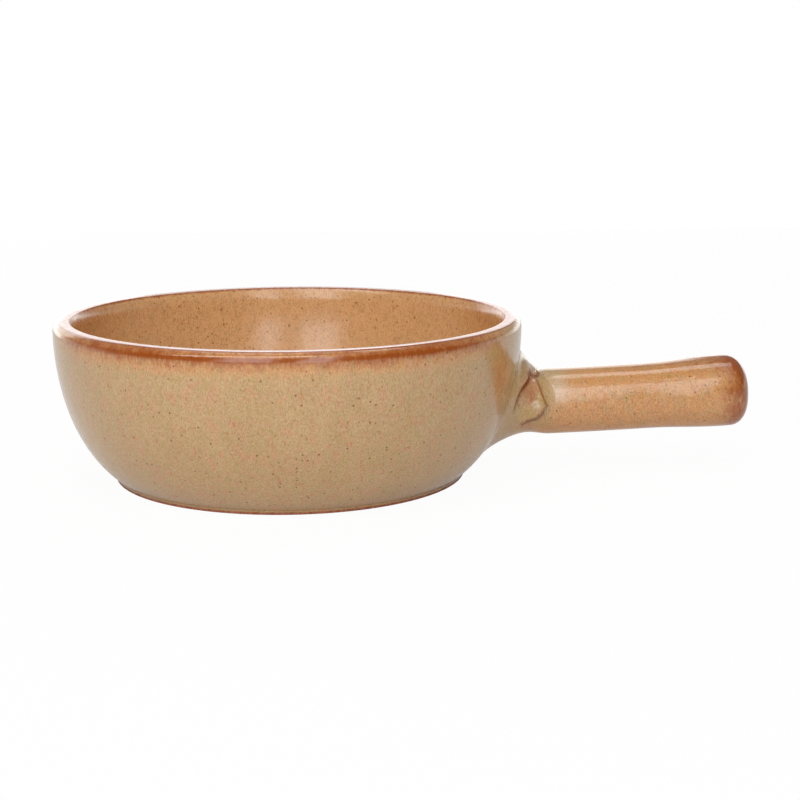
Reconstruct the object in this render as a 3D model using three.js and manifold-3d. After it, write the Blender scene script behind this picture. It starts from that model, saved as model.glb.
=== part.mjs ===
// Single-handled stoneware fondue pot: a turned bowl, a solid handle luted to its wall,
// the roll of clay thumbed out round that joint, and the bed of slip under the handle's root.
//
// Millimetres, +Z up. The origin is on the bowl's axis, at the middle of the flat base.
// The handle points along +X, and -Y is the front.

import * as THREE from "three";
import { mergeVertices } from "three/addons/utils/BufferGeometryUtils.js";
import Module from "manifold-3d";

// Bowl: outside
const rimRadius = 110;
const bowlHeight = 75.6;
const baseRadius = 83.2;
const baseEdge = 0.6;
const footHeight = 2.4;
const footStep = 0.6;
const wallLeanShares = { out: 0.86, up: 0.27, down: 0.25 };

// Bowl: inside
const rimWall = 9.7;
const floorThickness = 9;
const floorFlatRadius = 44;
const insideLeanShares = { out: 0.62, down: 0.64 };

// Bowl: lip, with a soft outer corner, a level crest, a tight inner corner and a soft inner
// side. The inner corner turns by an angle in radians.
const lipHeight = 4.4;
const lipCornerWidth = 4;
const crestWidth = 3;
const innerCornerRadius = 1.3;
const innerCornerAngle = 1.05;
const innerLipHeight = 7;

// Handle, measured from the bowl's axis
const handleReach = 221.5;
const rootHeight = 31.6;
const endHeight = 36.6;
const levelRun = 35;
const rootHalf = { width: 15.2, height: 14.4 };
const gripHalf = { width: 16.6, height: 15.7 };
const endHalf = { width: 18, height: 17.1 };
const neckLength = 9;
const neckTaper = 12;
const swellStartShare = 0.62;
const swellEndShare = 0.9;
const endDomeDepth = 10;
const sectionExponent = 2.25;
const domeExponent = 2.4;

// Joint: clearance between neighbouring pieces, and the slip between root and wall
const seatGap = 0.3;
const slipThickness = 1;
const cutOverrun = 12;

// Luting roll: how far it is smeared over the wall and along the handle, and how long its skin
// holds the slope of the wall and of the handle
const rollSpread = { top: 14, side: 20, bottom: 11 };
const rollRun = { top: 15, side: 23, bottom: 20 };
const wallHoldShares = { top: 0.2, side: 0.5, bottom: 0.5 };
const handleHoldShares = { top: 0.2, side: 0.3, bottom: 0.5 };
const rollEdge = 0.8;

// Marks of the thumb on the front of the roll. Places are measured from the handle's axis at
// the wall: along the handle, and up. A negative height is pressed in. Angles are in radians.
const thumbMark = { along: 9, up: 4, halfLength: 9, halfWidth: 5, leanAngle: 0.36, height: -2.8 };
const thumbLip = { along: 16, up: 4.5, halfLength: 7, halfWidth: 2.2, leanAngle: -0.35, height: 1 };
const thumbHeel = { along: 11, up: -6, halfLength: 6, halfWidth: 2.2, leanAngle: 1.04, height: 1.2 };
const smearTongue = { along: 10, up: 20, halfLength: 6, halfWidth: 2.4, leanAngle: -0.53, height: 0.8 };
const rollMarks = [thumbMark, thumbLip, thumbHeel, smearTongue];
const markFadeDepth = 7;

// Facets
const turnSegments = 72;
const wallDivisions = 12;
const insideDivisions = 12;
const lipDivisions = 6;
const innerLipDivisions = 4;
const sectionSegments = 40;
const handleDivisions = 12;
const domeDivisions = 7;
const rollSegments = 72;
const rollDivisions = 12;
const fineShare = 1e-6;

const lipBase = bowlHeight - lipHeight;
const insideTop = bowlHeight - innerLipHeight;
const wallStartRadius = baseRadius + footStep;
const insideRadius = rimRadius - rimWall;
const weldDistance = rimRadius * fineShare;

const wasm = await Module();
wasm.setup();

// Solid from a closed geometry, for cutting and joining
function solidOf(geometry) {
  const bare = geometry.clone();
  bare.deleteAttribute("normal");
  bare.deleteAttribute("uv");
  const merged = mergeVertices(bare, weldDistance);
  const corners = merged.index.array;
  const kept = [];
  for (let first = 0; first < corners.length; first += 3) {
    const [a, b, c] = corners.slice(first, first + 3);
    if (a !== b && b !== c && c !== a) kept.push(a, b, c);
  }
  const mesh = new wasm.Mesh({
    numProp: 3,
    vertProperties: Float32Array.from(merged.attributes.position.array),
    triVerts: Uint32Array.from(kept),
  });
  return new wasm.Manifold(mesh);
}

// Geometry from a solid, with its own normals
function geometryOf(solid) {
  const mesh = solid.getMesh();
  const geometry = new THREE.BufferGeometry();
  geometry.setAttribute("position", new THREE.BufferAttribute(mesh.vertProperties, 3));
  geometry.setIndex(new THREE.BufferAttribute(mesh.triVerts, 1));
  geometry.computeVertexNormals();
  return geometry;
}

// Body turned round the Z axis from a profile of (radius, height) points, lowest first
function turned(profile) {
  const geometry = new THREE.LatheGeometry(profile, turnSegments);
  geometry.rotateX(Math.PI / 2);
  return geometry;
}

// Closed skin over a row of rings that have the same number of points, with a fan to a pole at
// each end
function lofted(rings, startPoint, endPoint) {
  const count = rings[0].length;
  const points = [...rings.flat(), startPoint, endPoint];
  const startPole = points.length - 2;
  const endPole = points.length - 1;
  const lastRing = (rings.length - 1) * count;
  const triangles = [];
  for (let side = 0; side < count; side += 1) {
    const next = (side + 1) % count;
    for (let ring = 0; ring < lastRing; ring += count) {
      triangles.push(ring + side, ring + next, ring + count + next);
      triangles.push(ring + side, ring + count + next, ring + count + side);
    }
    triangles.push(startPole, next, side);
    triangles.push(endPole, lastRing + side, lastRing + next);
  }
  const geometry = new THREE.BufferGeometry().setFromPoints(points);
  geometry.setIndex(triangles);
  geometry.computeVertexNormals();
  return geometry;
}

// Outer wall in the (radius, height) plane, from the foot to the lip
function wallCurve() {
  const rise = lipBase - footHeight;
  const leanRadius = THREE.MathUtils.lerp(wallStartRadius, rimRadius, wallLeanShares.out);
  return new THREE.CubicBezierCurve(
    new THREE.Vector2(wallStartRadius, footHeight),
    new THREE.Vector2(leanRadius, footHeight + rise * wallLeanShares.up),
    new THREE.Vector2(rimRadius, lipBase - rise * wallLeanShares.down),
    new THREE.Vector2(rimRadius, lipBase),
  );
}

// Inner wall in the (radius, height) plane, from the lip down to the flat of the floor
function insideCurve() {
  const drop = insideTop - floorThickness;
  const leanRadius = THREE.MathUtils.lerp(floorFlatRadius, insideRadius, insideLeanShares.out);
  return new THREE.CubicBezierCurve(
    new THREE.Vector2(insideRadius, insideTop),
    new THREE.Vector2(insideRadius, insideTop - drop * insideLeanShares.down),
    new THREE.Vector2(leanRadius, floorThickness),
    new THREE.Vector2(floorFlatRadius, floorThickness),
  );
}

// Lip from the outer wall over to the inner wall, without the points that it shares with them
function lipPoints() {
  const crestEnd = rimRadius - lipCornerWidth - crestWidth;
  const outerCorner = new THREE.EllipseCurve(
    rimRadius - lipCornerWidth,
    lipBase,
    lipCornerWidth,
    lipHeight,
    0,
    Math.PI / 2,
  );
  const innerCorner = new THREE.EllipseCurve(
    crestEnd,
    bowlHeight - innerCornerRadius,
    innerCornerRadius,
    innerCornerRadius,
    Math.PI / 2,
    Math.PI / 2 + innerCornerAngle,
  );
  const sideStart = innerCorner.getPoint(1);
  const sideDrop = (sideStart.x - insideRadius) * Math.tan(innerCornerAngle);
  const innerSide = new THREE.QuadraticBezierCurve(
    sideStart,
    new THREE.Vector2(insideRadius, sideStart.y - sideDrop),
    new THREE.Vector2(insideRadius, insideTop),
  );
  return [
    ...outerCorner.getPoints(lipDivisions).slice(1),
    ...innerCorner.getPoints(innerLipDivisions),
    ...innerSide.getPoints(innerLipDivisions).slice(1, -1),
  ];
}

function makeBowl() {
  const foot = [
    new THREE.Vector2(0, 0),
    new THREE.Vector2(baseRadius - baseEdge, 0),
    new THREE.Vector2(baseRadius, baseEdge),
    new THREE.Vector2(baseRadius, footHeight),
  ];
  const floorMiddle = new THREE.Vector2(0, floorThickness);
  return turned([
    ...foot,
    ...wallCurve().getPoints(wallDivisions),
    ...lipPoints(),
    ...insideCurve().getPoints(insideDivisions),
    floorMiddle,
  ]);
}

// Full body with the bowl's outer wall moved outwards, to cut what is seated on that wall
function grownBowl(distance) {
  const curve = wallCurve();
  const wall = [];
  for (let step = 0; step <= wallDivisions; step += 1) {
    const share = step / wallDivisions;
    const along = curve.getTangent(share);
    const outwards = new THREE.Vector2(along.y, -along.x);
    wall.push(curve.getPoint(share).addScaledVector(outwards, distance));
  }
  const first = wall[0];
  const last = wall[wall.length - 1];
  const profile = [
    new THREE.Vector2(0, -cutOverrun),
    new THREE.Vector2(first.x, -cutOverrun),
    ...wall,
    new THREE.Vector2(last.x, bowlHeight + cutOverrun),
    new THREE.Vector2(0, bowlHeight + cutOverrun),
  ];
  return solidOf(turned(profile));
}

// Radius of the bowl's outer wall at a height
function wallRadius(height) {
  const curve = wallCurve();
  let low = 0;
  let high = 1;
  while (high - low > fineShare) {
    const middle = (low + high) / 2;
    if (curve.getPoint(middle).y < height) low = middle;
    else high = middle;
  }
  return curve.getPoint(low).x;
}

const rootReach = wallRadius(rootHeight);

// Middle line of the handle: level out of the wall, then gently rising. It starts inside the
// wall, where the root is cut to the bowl's curve.
function handlePath() {
  const start = rootReach - cutOverrun;
  return new THREE.QuadraticBezierCurve3(
    new THREE.Vector3(start, 0, rootHeight),
    new THREE.Vector3(rootReach + levelRun, 0, rootHeight),
    new THREE.Vector3(handleReach, 0, endHeight),
  );
}

// One point of a soft rounded section, measured across and up from its middle
function sectionPoint(angle, halfWidth, halfHeight) {
  const power = 2 / sectionExponent;
  const across = Math.sin(angle);
  const up = Math.cos(angle);
  return new THREE.Vector2(
    halfWidth * Math.sign(across) * Math.abs(across) ** power,
    halfHeight * Math.sign(up) * Math.abs(up) ** power,
  );
}

// Half the width or the height of the handle: a neck under the luting roll, the grip, and the
// swell at the end
function handleHalf(size, reach, share) {
  const neckEnd = rootReach + neckLength;
  const taper = THREE.MathUtils.smoothstep(reach, neckEnd, neckEnd + neckTaper);
  const swell = THREE.MathUtils.smoothstep(share, swellStartShare, swellEndShare);
  const plain = THREE.MathUtils.lerp(rootHalf[size], gripHalf[size], taper);
  return plain + (endHalf[size] - gripHalf[size]) * swell;
}

// Ring of points round the handle's middle line, at a share of its length
function handleRing(path, share, domeShare, growth) {
  const centre = path.getPointAt(share);
  const along = path.getTangentAt(share);
  const front = new THREE.Vector3(0, -1, 0);
  const up = new THREE.Vector3().crossVectors(front, along);
  const halfWidth = handleHalf("width", centre.x, share) * domeShare + growth;
  const halfHeight = handleHalf("height", centre.x, share) * domeShare + growth;
  const ring = [];
  for (let side = 0; side < sectionSegments; side += 1) {
    const angle = (side / sectionSegments) * 2 * Math.PI;
    const point = sectionPoint(angle, halfWidth, halfHeight);
    ring.push(centre.clone().addScaledVector(front, point.x).addScaledVector(up, point.y));
  }
  return ring;
}

// Handle before its root is cut, or a body that is larger all round by the growth
function handleBlank(growth) {
  const path = handlePath();
  const domeStart = 1 - endDomeDepth / path.getLength();
  const rings = [];
  for (let step = 0; step <= handleDivisions; step += 1) {
    rings.push(handleRing(path, (domeStart * step) / handleDivisions, 1, growth));
  }
  for (let step = 1; step < domeDivisions; step += 1) {
    const turn = (step / domeDivisions) * (Math.PI / 2);
    const depthShare = Math.sin(turn) ** (2 / domeExponent);
    const domeShare = Math.cos(turn) ** (2 / domeExponent);
    rings.push(handleRing(path, domeStart + (1 - domeStart) * depthShare, domeShare, growth));
  }
  return solidOf(lofted(rings, path.getPointAt(0), path.getPointAt(1)));
}

function makeHandle() {
  const seat = grownBowl(seatGap + slipThickness + seatGap);
  return geometryOf(handleBlank(0).subtract(seat));
}

function makeSlipBed() {
  const outside = grownBowl(seatGap + slipThickness);
  const inside = grownBowl(seatGap);
  return geometryOf(handleBlank(0).intersect(outside).subtract(inside));
}

// Value at an angle round the handle, from its values at the top, the sides and the bottom
function around(angle, { top, side, bottom }) {
  const up = Math.cos(angle);
  const end = up > 0 ? top : bottom;
  return THREE.MathUtils.lerp(side, end, up * up);
}

// How far the thumb marks lift or press the roll, at a place beside the handle's axis
function markHeight(along, up) {
  let height = 0;
  for (const mark of rollMarks) {
    const right = along - mark.along;
    const above = up - mark.up;
    const lengthways = above * Math.cos(mark.leanAngle) + right * Math.sin(mark.leanAngle);
    const sideways = right * Math.cos(mark.leanAngle) - above * Math.sin(mark.leanAngle);
    const distance = Math.hypot(lengthways / mark.halfLength, sideways / mark.halfWidth);
    height += mark.height * Math.exp(-(distance ** 2));
  }
  return height;
}

// Where the wall lies, along the handle, behind a point beside and above the handle's axis
function wallReach(across, up) {
  return Math.sqrt(wallRadius(rootHeight + up) ** 2 - across ** 2);
}

// One line of the roll, from the wall out to the handle, as (along, from the axis) points. It
// leaves the wall along the wall's own slope, and runs out level on the handle.
function rollLine(angle) {
  const section = sectionPoint(angle, rootHalf.width, rootHalf.height);
  const handleSurface = section.length() + seatGap + rollEdge;
  const direction = section.clone().normalize();
  const wallAt = (distance) => wallReach(direction.x * distance, direction.y * distance);
  const corner = new THREE.Vector2(wallAt(handleSurface), handleSurface);

  const footDistance = handleSurface + around(angle, rollSpread);
  const footReach = wallAt(footDistance);
  const foot = new THREE.Vector2(footReach + seatGap + rollEdge, footDistance);
  const wallSlope = wallAt(footDistance - rollEdge) - footReach;
  const downWall = new THREE.Vector2(wallSlope, -rollEdge).normalize();
  const wallHold = foot.distanceTo(corner) * around(angle, wallHoldShares);

  const tipReach = corner.x + around(angle, rollRun);
  const tipWidth = handleHalf("width", tipReach, 0);
  const tipHeight = handleHalf("height", tipReach, 0);
  const tipDistance = sectionPoint(angle, tipWidth, tipHeight).length() + seatGap + rollEdge;
  const tip = new THREE.Vector2(tipReach, tipDistance);
  const handleHold = tip.distanceTo(corner) * around(angle, handleHoldShares);

  const curve = new THREE.CubicBezierCurve(
    foot,
    foot.clone().addScaledVector(downWall, wallHold),
    new THREE.Vector2(tip.x - handleHold, tip.y),
    tip,
  );
  const line = curve.getPoints(rollDivisions);
  const inWall = new THREE.Vector2(foot.x - cutOverrun, foot.y);
  const inHandle = new THREE.Vector2(tip.x, section.length() / 2);
  return { direction, handleSurface, inWall, line, inHandle };
}

// Point in a direction square to the handle's axis, from its place along and its distance
function pointAt(direction, along, distance) {
  return new THREE.Vector3(along, -direction.x * distance, rootHeight + direction.y * distance);
}

// Point of the roll's skin, with the thumb marks pressed into its front
function rollPoint(direction, handleSurface, place) {
  const across = direction.x * place.y;
  const up = direction.y * place.y;
  const frontShare = THREE.MathUtils.smoothstep(across, 0, markFadeDepth);
  const pressed = place.y + frontShare * markHeight(place.x - rootReach, up);
  return pointAt(direction, place.x, Math.max(pressed, handleSurface));
}

function middleOf(ring) {
  return new THREE.Box3().setFromPoints(ring).getCenter(new THREE.Vector3());
}

function makeLutingRoll() {
  const rings = Array.from({ length: rollDivisions + 3 }, () => []);
  for (let side = 0; side < rollSegments; side += 1) {
    const angle = (side / rollSegments) * 2 * Math.PI;
    const { direction, handleSurface, inWall, line, inHandle } = rollLine(angle);
    rings[0].push(pointAt(direction, inWall.x, inWall.y));
    line.forEach((place, row) => {
      rings[row + 1].push(rollPoint(direction, handleSurface, place));
    });
    rings[rollDivisions + 2].push(pointAt(direction, inHandle.x, inHandle.y));
  }
  const blank = solidOf(lofted(rings, middleOf(rings[0]), middleOf(rings[rollDivisions + 2])));
  return geometryOf(blank.subtract(grownBowl(seatGap)).subtract(handleBlank(seatGap)));
}

const tanGlaze = new THREE.MeshStandardMaterial({ color: 0xba926a, roughness: 0.2, metalness: 0 });
const rustGlaze = new THREE.MeshStandardMaterial({ color: 0xc2854f, roughness: 0.2, metalness: 0 });
const oliveGlaze = new THREE.MeshStandardMaterial({ color: 0xb39a68, roughness: 0.2, metalness: 0 });
const bareClay = new THREE.MeshStandardMaterial({ color: 0x9a5a3c, roughness: 0.85, metalness: 0 });

function named(name, geometry, material) {
  const mesh = new THREE.Mesh(geometry, material);
  mesh.name = name;
  return mesh;
}

const pot = new THREE.Group();
pot.add(
  named("bowl", makeBowl(), tanGlaze),
  named("handle", makeHandle(), rustGlaze),
  named("luting_roll", makeLutingRoll(), oliveGlaze),
  named("slip_bed", makeSlipBed(), bareClay),
);

export default pot;
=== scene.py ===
"""Dressed model of a single-handled stoneware fondue pot.

The pot is a turned bowl, a solid handle, and the roll of clay that lutes the handle to the
bowl's wall. Sizes are in millimetres and become metres where a mesh is made. The origin is on
the bowl's axis at the middle of its flat base, +Z is up, +X is along the handle, and -Y is
the front.
"""

import logging
import math
from bisect import bisect
from collections.abc import Callable, Iterable, Sequence
from dataclasses import astuple, dataclass
from enum import Enum
from functools import cached_property

import bmesh
import bpy
from mathutils import Color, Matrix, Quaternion, Vector


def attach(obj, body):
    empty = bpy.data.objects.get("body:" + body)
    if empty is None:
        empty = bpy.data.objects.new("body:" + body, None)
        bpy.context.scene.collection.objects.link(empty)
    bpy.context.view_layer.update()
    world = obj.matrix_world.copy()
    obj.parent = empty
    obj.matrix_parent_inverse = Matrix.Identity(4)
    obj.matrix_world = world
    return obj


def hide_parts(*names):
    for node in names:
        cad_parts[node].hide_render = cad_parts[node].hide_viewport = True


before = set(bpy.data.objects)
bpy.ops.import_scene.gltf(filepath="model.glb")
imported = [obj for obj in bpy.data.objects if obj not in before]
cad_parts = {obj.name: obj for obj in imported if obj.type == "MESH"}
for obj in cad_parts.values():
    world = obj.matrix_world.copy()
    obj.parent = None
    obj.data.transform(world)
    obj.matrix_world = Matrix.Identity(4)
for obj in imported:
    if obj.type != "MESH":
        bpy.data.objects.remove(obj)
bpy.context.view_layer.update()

log = logging.getLogger("fondue_pot")

MILLIMETRE = 0.001
BODY = "root"
FULL_TURN = 2 * math.pi
QUARTER_TURN = math.pi / 2
FULL_TURN_DEGREES = 360.0
FINE = 1e-6
SLOPE_STEP = 1.0
CURVE_HOLD = 2 / 3
BRIGHTEST = 255
WHITE = (1.0, 1.0, 1.0)
NOISE_MIDDLE = 0.5
DRAWN = 0.48
MIX_UNDER, MIX_ABOVE, MIX_RESULT = 6, 7, 2
RAMP_INPUTS = ("From Min", "From Max", "To Min", "To Max")

Socket = bpy.types.NodeSocket
Place = tuple[float, float]
Colour = tuple[float, float, float]
Value = Socket | float | Colour


# ---- lines and blends


def lerp(start: float, end: float, share: float) -> float:
    """Value at a share of the way from start to end."""
    return start + (end - start) * share


def smooth(value: float, low: float, high: float) -> float:
    """Soft step from 0 at low to 1 at high."""
    share = min(max((value - low) / (high - low), 0.0), 1.0)
    return share * share * (3 - 2 * share)


def bell(distance: float) -> float:
    """Soft hill: 1 at no distance, and near 0 from a distance of 2."""
    return math.exp(-distance * distance)


def shares(count: int, last: bool = False) -> list[float]:
    """Even steps from 0 towards 1, with or without the last one, 1 itself."""
    return [step / count for step in range(count + last)]


def turn_between(first: float, second: float) -> float:
    """Smallest turn from the second direction to the first, both in degrees."""
    return math.remainder(first - second, FULL_TURN_DEGREES)


def oval(place: Place, middle: Place, halves: Place, lean: float) -> float:
    """Distance from the middle of a leaning oval, which is 1 on the oval.

    Args:
        place: The place.
        middle: Middle of the oval.
        halves: Half its width and height.
        lean: How far it leans, in radians.

    Returns:
        The distance, in halves of the oval.
    """
    right, above = place[0] - middle[0], place[1] - middle[1]
    sideways = right * math.cos(lean) - above * math.sin(lean)
    lengthways = right * math.sin(lean) + above * math.cos(lean)
    return math.hypot(sideways / halves[0], lengthways / halves[1])


def cubic(corners: Sequence[Vector], share: float) -> Vector:
    """Point of a cubic curve.

    Args:
        corners: The four points that steer the curve.
        share: How far along the curve, from 0 to 1.

    Returns:
        The point at that share.
    """
    rest = 1 - share
    start, first, second, end = corners
    return (
        start * rest**3
        + first * (3 * rest * rest * share)
        + second * (3 * rest * share * share)
        + end * share**3
    )


@dataclass(frozen=True)
class Ramp:
    """A soft change of strength, from the first to the last, along one part of a way."""

    start: float
    end: float
    first: float = 0.0
    last: float = 1.0

    def at(self, value: float) -> float:
        """Strength at a value along the way."""
        return lerp(self.first, self.last, smooth(value, self.start, self.end))


@dataclass(frozen=True)
class Around:
    """A size that differs between the top, the sides and the bottom of the handle."""

    top: float
    side: float
    bottom: float

    def at(self, angle: float) -> float:
        """Size at an angle round the handle, where 0 is the top."""
        up = math.cos(angle)
        return lerp(self.side, self.top if up > 0 else self.bottom, up * up)


# ---- marks in clay and glaze


class Tint(Enum):
    """Masks that the glaze reads from the mesh, one for each thing that colours it."""

    AMBER = "amber"
    RUST = "rust"
    OLIVE = "olive"
    ROSE = "rose"
    HONEY = "honey"
    MILK = "milk"
    CREASE = "crease"
    BARE = "bare"


Masks = dict[Tint, float]


@dataclass(frozen=True)
class Stain:
    """A soft patch of one tint on the front, placed by x and z, that dies away behind."""

    tint: Tint
    middle: Place
    halves: Place
    strength: float
    lean: float = 0.0
    forward: Ramp = Ramp(-10.0, 2.0)

    def at(self, place: Vector) -> float:
        """Strength of the patch at a point of the surface."""
        reach = oval((place.x, place.z), self.middle, self.halves, self.lean)
        return self.strength * bell(reach) * self.forward.at(-place.y)


def stained(found: Masks, stains: Sequence[Stain], place: Vector) -> Masks:
    """Adds stains to the masks of a point, and keeps the strongest of each tint.

    Args:
        found: Masks so far.
        stains: The stains.
        place: The point.

    Returns:
        The same masks, with the stains in them.
    """
    for stain in stains:
        found[stain.tint] = max(found.get(stain.tint, 0.0), stain.at(place))
    return found


@dataclass(frozen=True)
class Crease:
    """A fold in the clay: its left side stands over its right side, looking along the line.

    The line holds (along, up) places from the handle's axis at the wall.
    """

    line: tuple[Place, ...]
    raised: float
    raised_width: float
    pressed: float
    pressed_width: float
    rim: float
    edge: float = 0.4
    fade: float = 0.2
    # painted shade in the bottom of the fold: its strength and its width
    shade: float = 0.9
    shade_width: float = 0.7
    rim_at: float = 0.8
    rim_width: float = 0.8

    def nearest(self, along: float, up: float) -> Place:
        """Finds the nearest place of the line.

        Args:
            along: Place along the handle.
            up: Place above the handle's axis.

        Returns:
            The distance, which is negative on the right of the line, and the share of the
            line's length where it is nearest.
        """
        best, share = math.inf, 0.0
        spans = len(self.line) - 1
        for index in range(spans):
            (x0, y0), (x1, y1) = self.line[index], self.line[index + 1]
            run, rise = x1 - x0, y1 - y0
            reached = ((along - x0) * run + (up - y0) * rise) / (run * run + rise * rise)
            held = min(max(reached, 0.0), 1.0)
            right, above = along - x0 - run * held, up - y0 - rise * held
            distance = math.hypot(right, above)
            if distance < abs(best):
                best = math.copysign(distance, run * above - rise * right)
                share = (index + held) / spans
        return best, share

    def strength(self, share: float) -> float:
        """How deep the fold is at a share of its length: full, and dying away at its ends."""
        return smooth(share, 0.0, self.fade) * smooth(1 - share, 0.0, self.fade)

    def lift(self, along: float, up: float) -> float:
        """How far the fold lifts or presses the skin.

        Args:
            along: Place along the handle.
            up: Place above the handle's axis.

        Returns:
            The lift, negative where the skin is pressed in.
        """
        distance, share = self.nearest(along, up)
        step = smooth(distance, -self.edge, self.edge)
        raised = self.raised * bell(max(distance, 0.0) / self.raised_width)
        pressed = -self.pressed * bell(min(distance, 0.0) / self.pressed_width)
        return lerp(pressed, raised, step) * self.strength(share)

    def dark(self, along: float, up: float) -> float:
        """How much painted shade, with darker glaze, lies in the bottom of the fold."""
        distance, share = self.nearest(along, up)
        return self.shade * bell((distance + self.edge) / self.shade_width) * self.strength(share)

    def rim_rust_and_shade(self, along: float, up: float) -> float:
        """Thin glaze's rust at the rim's distance from the fold; on the pressed side, painted
        shade.
        """
        distance, share = self.nearest(along, up)
        return self.rim * bell((distance - self.rim_at) / self.rim_width) * self.strength(share)


@dataclass(frozen=True)
class Press:
    """A soft mark of a thumb, pressed in where its height is negative."""

    middle: Place
    halves: Place
    lean: float
    height: float

    def lift(self, along: float, up: float) -> float:
        """How far the mark lifts or presses the skin at a place."""
        return self.height * bell(oval((along, up), self.middle, self.halves, self.lean))


# ---- meshes


class Skin:
    """A mesh that grows ring by ring, and its masks."""

    def __init__(self) -> None:
        """Starts an empty mesh with one layer for each mask."""
        self.mesh = bmesh.new()
        self.layers = {tint: self.mesh.verts.layers.float.new(tint.value) for tint in Tint}

    def spin(self, profile: Iterable[Place], steps: int) -> None:
        """Turns a profile once round the Z axis, and closes the poles.

        Args:
            profile: (radius, height) points, the first and last on the axis.
            steps: Steps of the turn.
        """
        points = [self.mesh.verts.new((radius, 0.0, height)) for radius, height in profile]
        chain = [self.mesh.edges.new(pair) for pair in zip(points, points[1:])]
        bmesh.ops.spin(
            self.mesh,
            geom=points + chain,
            cent=(0, 0, 0),
            axis=(0, 0, 1),
            angle=FULL_TURN,
            steps=steps,
            use_merge=True,
        )
        bmesh.ops.remove_doubles(self.mesh, verts=self.mesh.verts, dist=FINE)

    def loft(self, rings: Sequence[Sequence[Vector]], closed: bool) -> None:
        """Extrudes a circle through rings of points.

        Args:
            rings: Rings that have the same number of points.
            closed: True where the last ring joins the first, False where both ends are
                closed with a fan.
        """
        made = bmesh.ops.create_circle(self.mesh, segments=len(rings[0]), radius=1)["verts"]
        first, start = made, list(self.mesh.edges)
        self.move(made, rings[0])
        edges = start
        for ring in rings[1:]:
            grown = bmesh.ops.extrude_edge_only(self.mesh, edges=edges)["geom"]
            known = {part for part in grown if isinstance(part, bmesh.types.BMVert)}
            edges = [
                part
                for part in grown
                if isinstance(part, bmesh.types.BMEdge) and known.issuperset(part.verts)
            ]
            made = self.matched(made, known)
            self.move(made, ring)
        if closed:
            bmesh.ops.bridge_loops(self.mesh, edges=start + edges)
            return
        for ring in (first, made):
            bmesh.ops.poke(self.mesh, faces=[self.mesh.faces.new(ring)])

    @staticmethod
    def matched(
        before: Sequence[bmesh.types.BMVert], known: set[bmesh.types.BMVert]
    ) -> list[bmesh.types.BMVert]:
        """Puts new points in the order of the points that they were extruded from.

        Args:
            before: The points that were extruded, in order.
            known: The new points, in no order.

        Returns:
            The new points, in order.
        """
        beside = ([edge.other_vert(point) for edge in point.link_edges] for point in before)
        return [next(point for point in points if point in known) for points in beside]

    @staticmethod
    def move(points: Sequence[bmesh.types.BMVert], ring: Sequence[Vector]) -> None:
        """Puts each point in its place on the ring."""
        for point, place in zip(points, ring):
            point.co = place

    def paint(self, masks: Callable[[Vector], Masks]) -> None:
        """Fills the masks of all points.

        Args:
            masks: Works out the masks of a place in millimetres.
        """
        for point in self.mesh.verts:
            for tint, strength in masks(point.co).items():
                point[self.layers[tint]] = max(strength, 0.0)

    def finished(self, name: str) -> bpy.types.Object:
        """Makes the object, in metres, with smooth shading and faces that point outwards.

        Args:
            name: Name of the object.

        Returns:
            The object, which stands at the origin.
        """
        bmesh.ops.recalc_face_normals(self.mesh, faces=self.mesh.faces)
        if self.mesh.calc_volume(signed=True) < 0:
            bmesh.ops.reverse_faces(self.mesh, faces=self.mesh.faces)
        bmesh.ops.scale(self.mesh, vec=(MILLIMETRE,) * 3, verts=self.mesh.verts)
        for face in self.mesh.faces:
            face.smooth = True
        data = bpy.data.meshes.new(name)
        self.mesh.to_mesh(data)
        self.mesh.free()
        piece = bpy.data.objects.new(name, data)
        bpy.context.scene.collection.objects.link(piece)
        log.info("%s: %d faces", name, len(data.polygons))
        return piece


# ---- nodes


class Sum(Enum):
    """Sums on single values."""

    ADD = "ADD"
    LESS = "SUBTRACT"
    TIMES = "MULTIPLY"
    MOST = "MAXIMUM"


@dataclass(frozen=True)
class Cloud:
    """Noise: blobs to the metre, number of finer layers, and how strong those are."""

    scale: float
    detail: float
    rough: float = 0.55


@dataclass(frozen=True)
class Dots:
    """Scattered dots: cells to the metre, size of a dot in its cell, share of cells with one.

    The core is the full part of a dot, and the sure is the share of dots at full strength.
    """

    scale: float
    size: float
    share: float
    core: float = 0.35
    sure: float = 0.6


@dataclass(frozen=True)
class Layer:
    """One colour of a glaze, and what it shows by: a mask of the mesh, a cloud or dots.

    A mask's edge can be frayed and can drift. A layer can be calmer where the glaze is honey.
    Clouds and dots are drawn out down the wall.
    """

    colour: Colour
    by: Tint | Cloud | Dots
    ramp: Ramp | None = None
    strength: float = 1.0
    fray: float = 0.0
    drift: float = 0.0
    calm: float = 0.0
    drawn: float = DRAWN


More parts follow.
